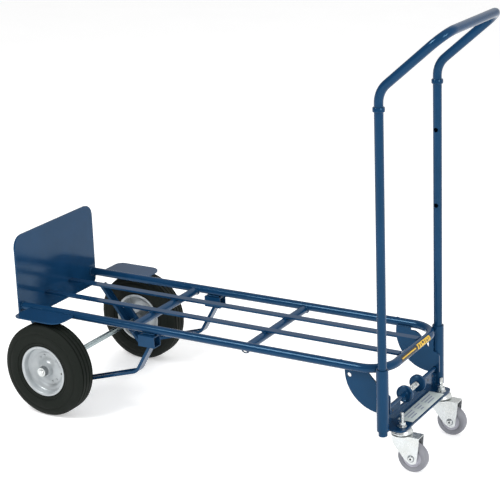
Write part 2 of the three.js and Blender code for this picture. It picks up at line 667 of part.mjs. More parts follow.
// Pressed fork: top plate and two legs, each narrowing to a round end at the axle bolt.
function casterFork() {
  const back = casterX - RACEWAY_RADIUS;
  const front = wheelX + 21;
  const width = forkInside + FORK_WALL;
  const plate = plateXY(roundedShape([
    [back, -width, 12], [front, -width, 3], [front, width, 3], [back, width, 12],
  ]), forkTop - FORK_WALL, forkTop);
  const r = 12;
  const z = CASTER_WHEEL_RADIUS;
  const leg = roundedShape([
    [back + 5, forkTop - 1], [back + 9, forkTop - 24, 8], [wheelX - r * 1.3, z - r * 0.6, r],
    [wheelX, z - r * 1.35, r * 0.8], [wheelX + r * 1.15, z - r * 0.9, r * 0.8], [front - 2, forkTop - 30, 8],
    [front, forkTop - 1],
  ]);
  const legs = [-width, forkInside].map((y) => plateXZ(leg, y, y + FORK_WALL));
  const fork = join(plate, ...legs);
  return cut(fork, across(wheelX, z, -width - 3, width + 3, CASTER_BOLT_RADIUS + GAP, 16))
    .translate(0, casterY, 0);
}

function casterBolt() {
  const outside = forkInside + FORK_WALL + GAP;
  const bolt = turnedAcross([
    [0, -outside - 4], [6, -outside - 4], [7, -outside - 2.5], [7, -outside],
    [CASTER_BOLT_RADIUS, -outside], [CASTER_BOLT_RADIUS, outside + 5.5], [0, outside + 5.5],
  ], wheelX, CASTER_WHEEL_RADIUS, 12);
  return bolt.translate(0, casterY, 0);
}

function casterNut() {
  const outside = forkInside + FORK_WALL + GAP;
  const hex = plateXY(circleShape(7.4, CASTER_BOLT_RADIUS + GAP, 6, 12), 0, 4);
  return hex.rotateX(-Math.PI / 2).translate(wheelX, casterY + outside, CASTER_WHEEL_RADIUS);
}

function casterTread() {
  const half = CASTER_WHEEL_WIDTH / 2;
  const R = CASTER_WHEEL_RADIUS;
  const profile = [
    [R - 14, -half + 1], [R - 6, -half], [R - 2, -half + 2], [R, -half + 6], [R, half - 6],
    [R - 2, half - 2], [R - 6, half], [R - 14, half - 1],
  ];
  return turnedAcross([...profile, profile[0]], wheelX, R, 24).translate(0, casterY, 0);
}

function casterHub() {
  const half = CASTER_WHEEL_WIDTH / 2;
  const bore = CASTER_BOLT_RADIUS + GAP;
  const outer = CASTER_WHEEL_RADIUS - 14 - GAP;
  const profile = [
    [bore, -half - 1], [11, -half - 1], [13, -half + 3], [outer, -half + 2], [outer, half - 2],
    [13, half - 3], [11, half + 1], [bore, half + 1],
  ];
  return turnedAcross([...profile, profile[0]], wheelX, CASTER_WHEEL_RADIUS, 16)
    .translate(0, casterY, 0);
}

addPair('caster_stem', casterStem(), zinc);
addPair('stem_nut', stemNut(), zinc);
addPair('caster_fork', casterFork(), zinc);
addPair('caster_bolt', casterBolt(), zinc);
addPair('caster_nut', casterNut(), zinc);
addPair('caster_tread', casterTread(), greyRubber);
addPair('caster_hub', casterHub(), hubPlastic);

// ---------------------------------------------------------------- origin
const extent = new THREE.Box3().setFromObject(truck);
truck.position.x = -(extent.min.x + extent.max.x) / 2;
truck.updateMatrixWorld(true);

export default truck;
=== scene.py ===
import math
import random

import bmesh
import bpy
from mathutils import Matrix, Vector


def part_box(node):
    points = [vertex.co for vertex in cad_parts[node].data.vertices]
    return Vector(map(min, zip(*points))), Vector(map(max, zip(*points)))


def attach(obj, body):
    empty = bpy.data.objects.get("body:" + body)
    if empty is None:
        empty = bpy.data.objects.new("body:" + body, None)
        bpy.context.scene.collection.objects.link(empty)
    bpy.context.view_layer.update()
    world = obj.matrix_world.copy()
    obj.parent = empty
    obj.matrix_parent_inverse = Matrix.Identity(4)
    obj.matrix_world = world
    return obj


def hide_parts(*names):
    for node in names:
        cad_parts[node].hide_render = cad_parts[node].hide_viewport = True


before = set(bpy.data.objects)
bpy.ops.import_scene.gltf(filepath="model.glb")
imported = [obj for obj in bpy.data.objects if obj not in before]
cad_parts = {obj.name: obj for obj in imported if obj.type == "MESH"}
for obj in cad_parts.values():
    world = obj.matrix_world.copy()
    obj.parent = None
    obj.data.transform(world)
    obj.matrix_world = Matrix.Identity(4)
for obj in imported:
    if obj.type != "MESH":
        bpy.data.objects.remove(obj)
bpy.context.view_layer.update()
random.seed(11)

MM = 0.001
SIDES = {"near": -1, "far": 1}
axle_low, axle_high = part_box("axle")
ORIGIN_X = (axle_low[0] + axle_high[0]) / 2  # the truck's own X starts at the axle


def at(x, y, z):
    """A place on the truck in millimetres, as a point in the frame in metres."""
    return Vector((x * MM + ORIGIN_X, y * MM, z * MM))


# ------------------------------------------------------------------ sizes, in millimetres
RAIL_Y, RAIL_Z, RAIL_R = 160.0, 265.0, 11.1
RAIL_START, LOOP_END, LOOP_CORNER = -126.1, 965.5, 68.0
CROSS_X, CROSS_Z, CROSS_R = (231.0, 578.0), 258.6, 11.1
BAR_Y, BAR_TOP, BAR_WIDTH = 54.0, 275.0, 21.0
TOE_X = -126.4
SLEEVE_X, SLEEVE_Y, SLEEVE_R, SLEEVE_LOW, SLEEVE_HIGH = 961.0, 164.0, 15.0, 113.0, 272.0
TUBE_R, TUBE_LOW, TUBE_TOP = 11.1, 100.0, 906.0
COLLAR_Z, COLLAR_R, COLLAR_HALF = 908.0, 14.5, 5.5
GRIP_X, GRIP_Z, GRIP_BEND_Z, GRIP_BEND_R, GRIP_CORNER_R = 1125.0, 1092.0, 950.0, 60.0, 48.0
PIVOT_X, PIVOT_Z = 950.0, 246.0
LATCH_Z, ROD_R, DISC_Y, DISC_T = 160.0, 5.2, 38.0, 10.0
PLATE_IN, PLATE_OUT = 143.3, 148.3
WHEEL_Y, WHEEL_R, WHEEL_HALF, RIM_R = 224.0, 128.5, 34.0, 70.0
SHELF_TOP, WEB_FRONT = 111.6, 959.5
CASTER_X, CASTER_Y, CASTER_R, CASTER_HALF, TRAIL = 990.0, 118.0, 38.0, 12.5, 30.0
GUIDE_X = (264.0, 314.0)


# ------------------------------------------------------------------ camera
def add_camera():
    yaw, pitch, roll = (math.radians(a) for a in (-31.0, 16.27, -2.18))
    forward = Vector((math.sin(yaw) * math.cos(pitch), math.cos(yaw) * math.cos(pitch), -math.sin(pitch)))
    level = Vector((math.cos(yaw), -math.sin(yaw), 0))
    upward = level.cross(forward)
    right = level * math.cos(roll) + upward * math.sin(roll)
    up = upward * math.cos(roll) - level * math.sin(roll)
    data = bpy.data.cameras.new("camera")
    data.sensor_width = 36
    data.lens = 111.5
    data.shift_y = -0.10
    data.clip_end = 100
    camera = bpy.data.objects.new("camera", data)
    place = at(2470, -3257, 1706)
    camera.matrix_world = Matrix((
        (right.x, up.x, -forward.x, place.x),
        (right.y, up.y, -forward.y, place.y),
        (right.z, up.z, -forward.z, place.z),
        (0, 0, 0, 1)))
    bpy.context.collection.objects.link(camera)
    bpy.context.scene.camera = camera


add_camera()


# ------------------------------------------------------------------ materials
def material(name, color, roughness, metallic=0.0):
    made = bpy.data.materials.new(name)
    made.use_nodes = True
    shader = made.node_tree.nodes["Principled BSDF"]
    shader.inputs["Base Color"].default_value = (*color, 1)
    shader.inputs["Roughness"].default_value = roughness
    shader.inputs["Metallic"].default_value = metallic
    return made, made.node_tree, shader


def noise(tree, scale, detail=4.0, rough=0.55, stretch=(1, 1, 1)):
    coords = tree.nodes.new("ShaderNodeTexCoord")
    mapping = tree.nodes.new("ShaderNodeMapping")
    mapping.inputs["Scale"].default_value = stretch
    texture = tree.nodes.new("ShaderNodeTexNoise")
    texture.inputs["Scale"].default_value = scale
    texture.inputs["Detail"].default_value = detail
    texture.inputs["Roughness"].default_value = rough
    tree.links.new(coords.outputs["Object"], mapping.inputs["Vector"])
    tree.links.new(mapping.outputs["Vector"], texture.inputs["Vector"])
    return texture.outputs["Fac"]


def ramp(tree, value, low, high, color_low, color_high):
    node = tree.nodes.new("ShaderNodeValToRGB")
    node.color_ramp.elements[0].position = low
    node.color_ramp.elements[0].color = (*color_low, 1)
    node.color_ramp.elements[1].position = high
    node.color_ramp.elements[1].color = (*color_high, 1)
    tree.links.new(value, node.inputs["Fac"])
    return node.outputs["Color"]


def remap(tree, value, low, high, out_low, out_high):
    node = tree.nodes.new("ShaderNodeMapRange")
    for key, number in zip(("From Min", "From Max", "To Min", "To Max"), (low, high, out_low, out_high)):
        node.inputs[key].default_value = number
    tree.links.new(value, node.inputs["Value"])
    return node.outputs["Result"]


def mix(tree, factor, a, b):
    node = tree.nodes.new("ShaderNodeMix")
    node.data_type = "RGBA"
    tree.links.new(factor, node.inputs["Factor"])
    tree.links.new(a, node.inputs["A"])
    tree.links.new(b, node.inputs["B"])
    return node.outputs["Result"]


def bump(tree, shader, height, distance, strength=1.0, chain=None):
    node = tree.nodes.new("ShaderNodeBump")
    node.inputs["Distance"].default_value = distance
    node.inputs["Strength"].default_value = strength
    tree.links.new(height, node.inputs["Height"])
    if chain:
        tree.links.new(chain, node.inputs["Normal"])
    tree.links.new(node.outputs["Normal"], shader.inputs["Normal"])
    return node.outputs["Normal"]


def enamel():
    """Glossy blue enamel: faint orange peel, cloudy gloss and a few worn specks."""
    made, tree, shader = material("blue_enamel", (0.007, 0.040, 0.12), 0.2)
    shader.inputs["Specular IOR Level"].default_value = 0.36
    shader.inputs["Specular Tint"].default_value = (0.34, 0.66, 0.95, 1)
    cloud = noise(tree, 9, 3)
    paint = ramp(tree, cloud, 0.3, 0.7, (0.0040, 0.029, 0.076), (0.0055, 0.036, 0.096))
    speck = remap(tree, noise(tree, 210, 6, 0.7), 0.735, 0.76, 0, 1)
    bare = ramp(tree, cloud, 0.4, 0.6, (0.14, 0.17, 0.22), (0.24, 0.27, 0.31))
    tree.links.new(mix(tree, speck, paint, bare), shader.inputs["Base Color"])
    tree.links.new(remap(tree, noise(tree, 30, 5), 0.3, 0.7, 0.08, 0.17), shader.inputs["Roughness"])
    peel = bump(tree, shader, noise(tree, 420, 2), 0.0002, 0.35)
    bump(tree, shader, noise(tree, 24, 3), 0.0006, 0.3, peel)
    return made


def zinc(name="zinc_plate", tint=(0.66, 0.69, 0.70), roughness=(0.2, 0.42)):
    """Bright zinc plating: patchy gloss, brushed streaks and a yellowish bloom."""
    made, tree, shader = material(name, tint, 0.3, 1.0)
    cloud = noise(tree, 28, 4)
    dull = tuple(c * k for c, k in zip(tint, (0.92, 0.91, 0.88)))
    tree.links.new(ramp(tree, cloud, 0.35, 0.7, dull, tint), shader.inputs["Base Color"])
    tree.links.new(remap(tree, noise(tree, 140, 5), 0.3, 0.7, *roughness), shader.inputs["Roughness"])
    bump(tree, shader, noise(tree, 500, 3, 0.6, (1, 6, 1)), 0.0002, 0.4)
    return made


def rubber(name, dark, light, roughness=0.75, grain=900):
    """Moulded rubber: fine grain, dusty patches and scuffs."""
    made, tree, shader = material(name, dark, roughness)
    shader.inputs["Specular IOR Level"].default_value = 0.2
    dust = noise(tree, 22, 6, 0.65)
    tree.links.new(ramp(tree, dust, 0.35, 0.75, dark, light), shader.inputs["Base Color"])
    tree.links.new(remap(tree, dust, 0.3, 0.7, roughness - 0.12, roughness + 0.1), shader.inputs["Roughness"])
    fine = bump(tree, shader, noise(tree, grain, 3), 0.0003, 0.5)
    bump(tree, shader, noise(tree, 60, 4), 0.0005, 0.35, fine)
    return made


def rim_paint():
    """Silver-white rim paint with a metallic flake."""
    made, tree, shader = material("rim_paint", (0.50, 0.53, 0.55), 0.34, 0.35)
    shader.inputs["Coat Weight"].default_value = 0.3
    cloud = noise(tree, 40, 4)
    tree.links.new(ramp(tree, cloud, 0.3, 0.7, (0.38, 0.41, 0.43), (0.45, 0.48, 0.49)),
                   shader.inputs["Base Color"])
    tree.links.new(remap(tree, noise(tree, 90, 4), 0.3, 0.7, 0.28, 0.42), shader.inputs["Roughness"])
    bump(tree, shader, noise(tree, 1500, 2), 0.0001, 0.4)
    return made


def plastic(name, low, high, roughness=0.42):
    made, tree, shader = material(name, low, roughness)
    cloud = noise(tree, 35, 4)
    tree.links.new(ramp(tree, cloud, 0.3, 0.7, low, high), shader.inputs["Base Color"])
    tree.links.new(remap(tree, cloud, 0.3, 0.7, roughness - 0.06, roughness + 0.08),
                   shader.inputs["Roughness"])
    bump(tree, shader, noise(tree, 700, 3), 0.0002, 0.35)
    return made


BLUE = enamel()
ZINC = zinc()
# Darker dull zinc; on the wheel hub tubes its dark tone is also painted shade for the ring between hub and rim
# dish.
DULL_ZINC_AND_HUB_SHADE = zinc("dull_zinc_and_hub_shade", (0.30, 0.32, 0.34), (0.3, 0.5))
CHROME = zinc("axle_zinc", (0.40, 0.48, 0.50), (0.14, 0.30))
TYRE = rubber("tyre_rubber", (0.0035, 0.0060, 0.0040), (0.0075, 0.0105, 0.0080))
RIM = rim_paint()
GREY = rubber("grey_rubber", (0.20, 0.205, 0.23), (0.26, 0.265, 0.29), 0.6)
HUB = plastic("hub_plastic", (0.40, 0.40, 0.46), (0.48, 0.48, 0.54))
LABEL = plastic("label_white", (0.56, 0.63, 0.61), (0.64, 0.70, 0.68), 0.5)
INK = plastic("label_ink", (0.20, 0.23, 0.34), (0.30, 0.33, 0.44), 0.5)
# Black print on the loop label; the same black is also painted shade in the web holes and the bolt socket.
BLACK = plastic("label_black_and_painted_shade", (0.010, 0.011, 0.012), (0.018, 0.018, 0.020), 0.4)
YELLOW = plastic("label_yellow", (0.62, 0.38, 0.02), (0.70, 0.45, 0.04), 0.45)


# ------------------------------------------------------------------ building pieces
def piece(name, mesh, body, coat, replaces=(), sharp=38):
    """Puts a finished mesh in the scene as a piece riding on a body."""
    for one in coat if isinstance(coat, (list, tuple)) else [coat]:
        mesh.materials.append(one)
    mesh.shade_smooth()
    mesh.set_sharp_from_angle(angle=math.radians(sharp))
    made = bpy.data.objects.new(name, mesh)
    bpy.context.collection.objects.link(made)
    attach(made, body)
    if replaces:
        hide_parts(*replaces)
    return made


def mesh_of(name, shape):
    bmesh.ops.recalc_face_normals(shape, faces=shape.faces[:])
    mesh = bpy.data.meshes.new(name)
    shape.to_mesh(mesh)
    shape.free()
    return mesh


def rounded(points, radii, steps=14):
    """Points and directions along a polyline whose inner corners are rounded."""
    ways = [(b - a).normalized() for a, b in zip(points, points[1:])]
    stations = [(points[0], ways[0])]
    for i, radius in enumerate(radii, 1):
        before, after = ways[i - 1], ways[i]
        turn = before.angle(after)
        start = points[i] - before * radius * math.tan(turn / 2)
        side = (after - before * after.dot(before)).normalized()
        for k in range(steps + 1):
            a = turn * k / steps
            stations.append((start + before * radius * math.sin(a) + side * radius * (1 - math.cos(a)),
                             before * math.cos(a) + side * math.sin(a)))
    stations.append((points[-1], ways[-1]))
    return stations


def sweep(shape, stations, radius_at, sides):
    """Rings along the stations, joined into a closed tube."""
    way = stations[0][1]
    side = way.orthogonal().normalized()
    rings = []
    for i, (point, now) in enumerate(stations):
        side = (way.rotation_difference(now) @ side).normalized()
        way = now
        other = now.cross(side)
        radius = radius_at(i)
        rings.append([shape.verts.new(point + (side * math.cos(a) + other * math.sin(a)) * radius)
                      for a in (2 * math.pi * k / sides for k in range(sides))])
    for one, two in zip(rings, rings[1:]):
        for k in range(sides):
            shape.faces.new((one[k], one[(k + 1) % sides], two[(k + 1) % sides], two[k]))
    shape.faces.new(rings[0][::-1])
    shape.faces.new(rings[-1])


def tube_mesh(name, points, radii, radius, sides=40):
    """A bent tube in millimetres with eased ends."""
    stations = rounded(points, [r * MM for r in radii])
    first, last = stations[0], stations[-1]
    edge = 0.5 * MM
    body = [first, (first[0] + first[1] * edge, first[1]), *stations[1:-1],
            (last[0] - last[1] * edge, last[1]), last]
    outer = [radius * MM] * len(body)
    outer[0] = outer[-1] = (radius - 0.5) * MM
    shape = bmesh.new()
    sweep(shape, body, lambda i: outer[i], sides)
    return mesh_of(name, shape)


def lathe_mesh(name, profile, centre, axis="y", sign=1, sides=72, closed=False):
    """Turns (radius, height) points in millimetres about an axis through centre."""
    shape = bmesh.new()
    rings = []
    for radius, height in profile:
        ring = []
        for k in range(sides if radius > 1e-6 else 1):
            a = 2 * math.pi * k / sides
            c, s, h = radius * math.cos(a) * MM, radius * math.sin(a) * MM, sign * height * MM
            place = {"x": (h, c, s), "y": (c, h, s), "z": (c, s, h)}[axis]
            ring.append(shape.verts.new(centre + Vector(place)))
        rings.append(ring)
    pairs = list(zip(rings, rings[1:])) + ([(rings[-1], rings[0])] if closed else [])
    for one, two in pairs:
        for k in range(sides):
            corners = [one[k % len(one)], one[(k + 1) % len(one)],
                       two[(k + 1) % len(two)], two[k % len(two)]]
            unique = list(dict.fromkeys(corners))
            if len(unique) > 2:
                shape.faces.new(unique)
    return mesh_of(name, shape)


def plate_mesh(name, outline, holes, depth, edge, place):
    """A flat outline in millimetres with round holes (x, y, radius), rounded edges, put by a matrix."""
    curve = bpy.data.curves.new(name, "CURVE")
    curve.dimensions = "2D"
    curve.fill_mode = "BOTH"
    curve.extrude = (depth / 2 - edge) * MM
    curve.bevel_depth = edge * MM
    curve.bevel_resolution = 2
    curve.offset = -edge * MM
    loops = [outline] + [
        [(x + r * math.cos(2 * math.pi * k / 28), y + r * math.sin(2 * math.pi * k / 28)) for k in range(28)]
        for x, y, r in holes]
    for loop in loops:
        spline = curve.splines.new("POLY")
        spline.points.add(len(loop) - 1)
        for point, (x, y) in zip(spline.points, loop):
            point.co = (x * MM, y * MM, 0, 1)
        spline.use_cyclic_u = True
    holder = bpy.data.objects.new(name, curve)
    bpy.context.collection.objects.link(holder)
    bpy.context.view_layer.update()
    mesh = bpy.data.meshes.new_from_object(holder)
    bpy.data.objects.remove(holder)
    shape = bmesh.new()
    shape.from_mesh(mesh)
    bmesh.ops.remove_doubles(shape, verts=shape.verts[:], dist=1e-6)
    shape.transform(place)
    return mesh_of(name, shape)


def round_corners(corners, steps=8):
    """Outline whose corners (x, y, radius) are rounded."""
    points = []
    for i, (x, y, radius) in enumerate(corners):
        here = Vector((x, y))
        before = (here - Vector(corners[i - 1][:2])).normalized()
        after = (Vector(corners[(i + 1) % len(corners)][:2]) - here).normalized()
        turn = before.angle(after)
        if radius < 1e-6 or turn < 1e-3:
            points.append((x, y))
            continue
        side = (after - before * after.dot(before)).normalized()
        start = here - before * radius * math.tan(turn / 2)
        for k in range(steps + 1):
            a = turn * k / steps
            spot = start + before * radius * math.sin(a) + side * radius * (1 - math.cos(a))
            points.append((spot.x, spot.y))
    return points


def flat(z):
    return Matrix(((1, 0, 0, ORIGIN_X), (0, 1, 0, 0), (0, 0, 1, z * MM), (0, 0, 0, 1)))


def weld(name, body, path, radius=2.0):
    """A painted weld bead: overlapping ripples along a path of points in the frame."""
    pitch = 2.2 * MM
    dense = []
    for a, b in zip(path, path[1:]):
        count = max(1, round((b - a).length / (pitch / 4)))
        dense += [a.lerp(b, k / count) for k in range(count)]
    dense.append(path[-1])
    stations = []
    for i, point in enumerate(dense):
        ahead = dense[min(i + 1, len(dense) - 1)]
        behind = dense[max(i - 1, 0)]
        stations.append((point, (ahead - behind).normalized()))
    wobble = [random.uniform(0.86, 1.12) for _ in range(len(dense) // 4 + 2)]

    def size(i):
        ripple = 0.8 + 0.2 * abs(math.sin(math.pi * i / 4))
        taper = min(1, 0.45 + 0.2 * min(i, len(dense) - 1 - i))
        return radius * MM * ripple * wobble[i // 4] * taper

    shape = bmesh.new()
    sweep(shape, stations, size, 8)
    return piece(name, mesh_of(name, shape), body, BLUE, sharp=80)


def ring_path(centre, radius):
    """Points on a circle about an axis along X, radius in millimetres."""
    points = []
    for k in range(28):
        a = 2 * math.pi * k / 27
        points.append(centre + Vector((0, radius * math.cos(a) * MM, radius * math.sin(a) * MM)))
    return points


def drilled(mesh, holes):
    """A mesh with round holes bored along Y, each a place and a radius in millimetres."""
    holder = bpy.data.objects.new("drilled", mesh)
    bpy.context.collection.objects.link(holder)
    cutters = []
    for place, radius in holes:
        pin = lathe_mesh("pin", [(0, -4.5), (radius, -4.5), (radius, 4.5), (0, 4.5)], place, "y", 1, 28)
        cutter = bpy.data.objects.new("pin", pin)
        bpy.context.collection.objects.link(cutter)
        cut = holder.modifiers.new("cut", "BOOLEAN")
        cut.operation = "DIFFERENCE"
        cut.solver = "EXACT"
        cut.object = cutter
        cutters.append(cutter)
    bpy.context.view_layer.update()
    made = bpy.data.meshes.new_from_object(holder.evaluated_get(bpy.context.evaluated_depsgraph_get()))
    for one in [holder, *cutters]:
        bpy.data.objects.remove(one)
    made.materials.clear()
    return made


def pipe(name, x, y, low, high, radius, bore):
    """An upright open pipe with eased ends, in millimetres."""
    section = [(bore, low), (radius - 0.5, low), (radius, low + 0.5), (radius, high - 0.5), (radius - 0.5, high),
               (bore, high)]
    return lathe_mesh(name, section, at(x, y, 0), "z", 1, 48, True)


def keep(node, coat, width=0.6, segments=3):
    """A CAD node whose shape is right: it gets its material and soft edges."""
    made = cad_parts[node]
    made = bpy.data.objects[made] if isinstance(made, str) else made
    made.data.materials.clear()
    made.data.materials.append(coat)
    edge = made.modifiers.new("edge", "BEVEL")
    edge.width = width * MM
    edge.segments = segments
    edge.limit_method = "ANGLE"
    edge.angle_limit = math.radians(32)
    edge.harden_normals = False
    return made


def nut_mesh(name, radius, height, centre, axis):
    """A hex nut whose corners are chamfered as on a real one, standing on centre."""
    chamfer = radius * 0.10
    shape = bmesh.new()
    levels = [(radius * 0.9, 0, True), (radius, chamfer, False), (radius, height - chamfer, False),
              (radius * 0.9, height, True)]
    sides = 48
    rings = []
    for size, level, is_round in levels:
        ring = []
        for k in range(sides):
            a = 2 * math.pi * k / sides
            inside = (a + math.pi / 6) % (math.pi / 3) - math.pi / 6
            hexed = radius * math.cos(math.pi / 6) / math.cos(math.pi / 6 - abs(inside))
            reach = min(size if is_round else hexed, hexed) * MM
            c, s, h = reach * math.cos(a), reach * math.sin(a), level * MM
            ring.append(shape.verts.new(centre + Vector((c, h, s) if axis == "y" else (c, s, h))))
        rings.append(ring)
    for one, two in zip(rings, rings[1:]):
        for k in range(sides):
            shape.faces.new((one[k], one[(k + 1) % sides], two[(k + 1) % sides], two[k]))
    shape.faces.new(rings[0])
    shape.faces.new(rings[-1])
    return mesh_of(name, shape)


# ------------------------------------------------------------------ frame
def build_frame():
    loop = [at(RAIL_START, -RAIL_Y, RAIL_Z), at(LOOP_END, -RAIL_Y, RAIL_Z),
            at(LOOP_END, RAIL_Y, RAIL_Z), at(RAIL_START, RAIL_Y, RAIL_Z)]
    piece("frame_tube", tube_mesh("frame_tube", loop, [LOOP_CORNER] * 2, RAIL_R), "frame", BLUE,
          ["frame_loop"])
    for i, x in enumerate(CROSS_X, 1):
        reach = RAIL_Y - RAIL_R + 3
        ends = [at(x, -reach, CROSS_Z), at(x, reach, CROSS_Z)]
        piece(f"cross_bar_{i}", tube_mesh(f"cross_bar_{i}", ends, [], CROSS_R), "frame", BLUE,
              [f"cross_tube_{i}"])
        for name, side in SIDES.items():
            seam = []
            for k in range(33):
                a = 2 * math.pi * k / 32
                z = CROSS_Z + (CROSS_R + 0.6) * math.sin(a)
                inset = math.sqrt(max(4.0, (RAIL_R + 0.6) ** 2 - (z - RAIL_Z) ** 2))
                seam.append(at(x + (CROSS_R + 0.6) * math.cos(a), side * (RAIL_Y - inset), z))
            weld(f"cross_weld_{i}_{name}", "frame", seam, 1.9)
            for edge in (-1, 1):
                y = side * BAR_Y + edge * (BAR_WIDTH / 2 + 0.4)
                weld(f"bar_weld_{i}_{name}_{'in' if edge < 0 else 'out'}", "frame",
                     [at(x - 6, y, BAR_TOP - 5.2), at(x + 6, y, BAR_TOP - 5.2)], 1.7)
    for name, side in SIDES.items():
        keep(f"deck_bar_{name}", BLUE, 0.8)
        keep(f"wheel_guard_{name}", BLUE, 0.9)
        keep(f"axle_strut_{name}", BLUE, 0.9)
        keep(f"handle_guide_{name}", BLUE, 1.1)
        keep(f"latch_plate_{name}", BLUE, 0.7)
        seam = ring_path(at(TOE_X + 1.2, side * RAIL_Y, RAIL_Z), RAIL_R + 0.8)
        weld(f"toe_weld_{name}", "frame", seam, 2.3)
        for edge in (-1, 1):
            y = side * BAR_Y + edge * BAR_WIDTH / 2
            weld(f"bar_end_weld_{name}_{'in' if edge < 0 else 'out'}", "frame",
                 [at(TOE_X + 1, y, BAR_TOP - 5), at(TOE_X + 1, y, BAR_TOP)], 1.6)
        weld(f"bar_top_weld_{name}", "frame",
             [at(956.4, side * BAR_Y - 10, BAR_TOP - 0.5), at(956.4, side * BAR_Y + 10, BAR_TOP - 0.5)], 1.6)
        weld(f"guard_weld_{name}", "frame",
             [at(-84, side * (RAIL_Y + RAIL_R + 0.6), 269.4), at(-54, side * (RAIL_Y + RAIL_R + 0.6), 269.4)], 1.8)
        weld(f"guard_weld_end_{name}", "frame",
             [at(20, side * (RAIL_Y + RAIL_R + 0.6), 269.4), at(48, side * (RAIL_Y + RAIL_R + 0.6), 269.4)], 1.8)
        for edge in (-1, 1):
            weld(f"guide_weld_{name}_{'in' if edge < 0 else 'out'}", "frame",
                 [at(GUIDE_X[0] + 6, side * RAIL_Y + edge * 5.5, 252.2),
                  at(GUIDE_X[1] - 6, side * RAIL_Y + edge * 5.5, 252.2)], 2.6)
        weld(f"rail_bead_{name}", "frame",
             [at(846, side * RAIL_Y, RAIL_Z + RAIL_R), at(853, side * RAIL_Y, RAIL_Z + RAIL_R)], 2.0)
        weld(f"strut_foot_weld_{name}", "frame",
             [at(286, side * 172.4, 219.6), at(302, side * 172.4, 219.6)], 1.7)
        weld(f"plate_weld_{name}", "frame",
             [at(856, side * PLATE_IN, 261.4), at(892, side * PLATE_IN, 261.4)], 2.0)
        weld(f"arm_weld_{name}", "frame",
             [at(943, side * (PLATE_OUT - 2), 255.4), at(956, side * (PLATE_OUT - 3), 255.4)], 1.8)
    keep("toe_plate", BLUE, 1.3, 4)


# ------------------------------------------------------------------ axle and big wheels
def tyre_profile():
    """Half of the tyre's section from the bead to the middle of the tread, with moulded ribs."""
    half = WHEEL_HALF
    flank = [(RIM_R - 2.2, half - 9.5), (RIM_R + 0.5, half - 6.8), (RIM_R + 4, half - 5.6),
             (RIM_R + 5, half - 4.2), (RIM_R + 9, half - 2.8), (RIM_R + 10, half - 3.4),
             (RIM_R + 11.5, half - 3.4), (RIM_R + 12.5, half - 1.6), (RIM_R + 20, half - 0.4),
             (RIM_R + 28, half), (RIM_R + 34, half - 0.4), (RIM_R + 35, half - 1.6),
             (RIM_R + 37, half - 1.9), (RIM_R + 38.5, half - 1.2), (WHEEL_R - 15, half - 2.2),
             (WHEEL_R - 9, half - 4.6), (WHEEL_R - 5, half - 7.2), (WHEEL_R - 2.8, half - 10)]
    crown = []
    for groove in (19.5, 6.5):
        crown += [(WHEEL_R - 0.9 - 0.0016 * groove ** 2, groove + 1.9), (WHEEL_R - 4.4, groove + 1.2),
                  (WHEEL_R - 4.4, groove - 1.2), (WHEEL_R - 0.7 - 0.0010 * groove ** 2, groove - 1.9)]
    return flank + crown


def build_big_wheel(name, side):
    body = f"big_wheel_{name}"
    centre = at(0, side * WHEEL_Y, WHEEL_R)
    half = tyre_profile()
    section = half + [(r, -h) for r, h in reversed(half)]
    piece(f"tyre_body_{name}", lathe_mesh("tyre", section, centre, "y", side, 120, True), body, TYRE,
          [f"tyre_{name}"], 50)
    band, lip = RIM_R - 5.5, WHEEL_HALF - 9
    dish = [(14.3, 23), (16.4, 23), (17.2, 21.5), (18.6, 12), (21, 9.2), (26, 6.6), (31, 4.6), (36, 3.8),
            (43, 3.8), (45.5, 4.6), (49, 7.4), (51.5, 8.8), (56, 9.6), (60, 10.6), (62, 12.6),
            (band - 2, 16), (band - 2, lip + 2.4), (band - 0.6, lip + 4.4), (RIM_R - 1.2, lip + 5),
            (RIM_R, lip + 4.2), (RIM_R, lip + 3), (band, lip + 0.8), (band, -lip - 0.8),
            (RIM_R, -lip - 3), (RIM_R, -lip - 4.2), (RIM_R - 1.2, -lip - 5), (band - 0.6, -lip - 4.4),
            (band - 2, -lip - 2.4), (band - 2, 8), (60, 7.6), (50, 5.2), (44, 1.8), (31, 1.8),
            (18, 6), (14.3, 8)]
    piece(f"rim_disc_{name}", lathe_mesh("rim", dish, centre, "y", side, 96, True), body, RIM,
          [f"wheel_rim_{name}"], 50)
    # The hub tube is darker zinc partly as painted shade: the dark ring round the axle end, down between hub and
    # dish.
    hub = [(8.3, -32.9), (13.2, -32.9), (13.9, -32.2), (13.9, 31.4), (13.2, 32.9), (11.6, 32.9),
           (11.2, 31.6), (8.3, 31.6)]
    piece(f"hub_tube_{name}", lathe_mesh("hub", hub, centre, "y", side, 48, True), body, DULL_ZINC_AND_HUB_SHADE,
          [f"wheel_hub_{name}"])
    for k in range(8):  # pressed rivet heads, in pairs
        a = math.pi / 2 * (k // 2) + (0.22 if k % 2 else -0.22) + 0.5
        spot = centre + Vector((37.5 * math.cos(a) * MM, side * 3.9 * MM, 37.5 * math.sin(a) * MM))
        head = [(0, 1.9), (1.6, 1.7), (2.8, 1.1), (3.5, 0), (3.5, -0.8), (0, -0.8)]
        piece(f"rim_rivet_{name}_{k + 1}", lathe_mesh("rim_rivet", head, spot, "y", side, 24), body, RIM)
    spot = centre + Vector((56.5 * MM, side * 9.5 * MM, 0))
    valve = [(0, 13), (2.2, 13), (2.6, 12.4), (2.6, 5.5), (3.4, 5), (3.8, 0), (0, 0)]
    piece(f"valve_{name}", lathe_mesh("valve", valve, spot, "y", side, 20), body, TYRE)


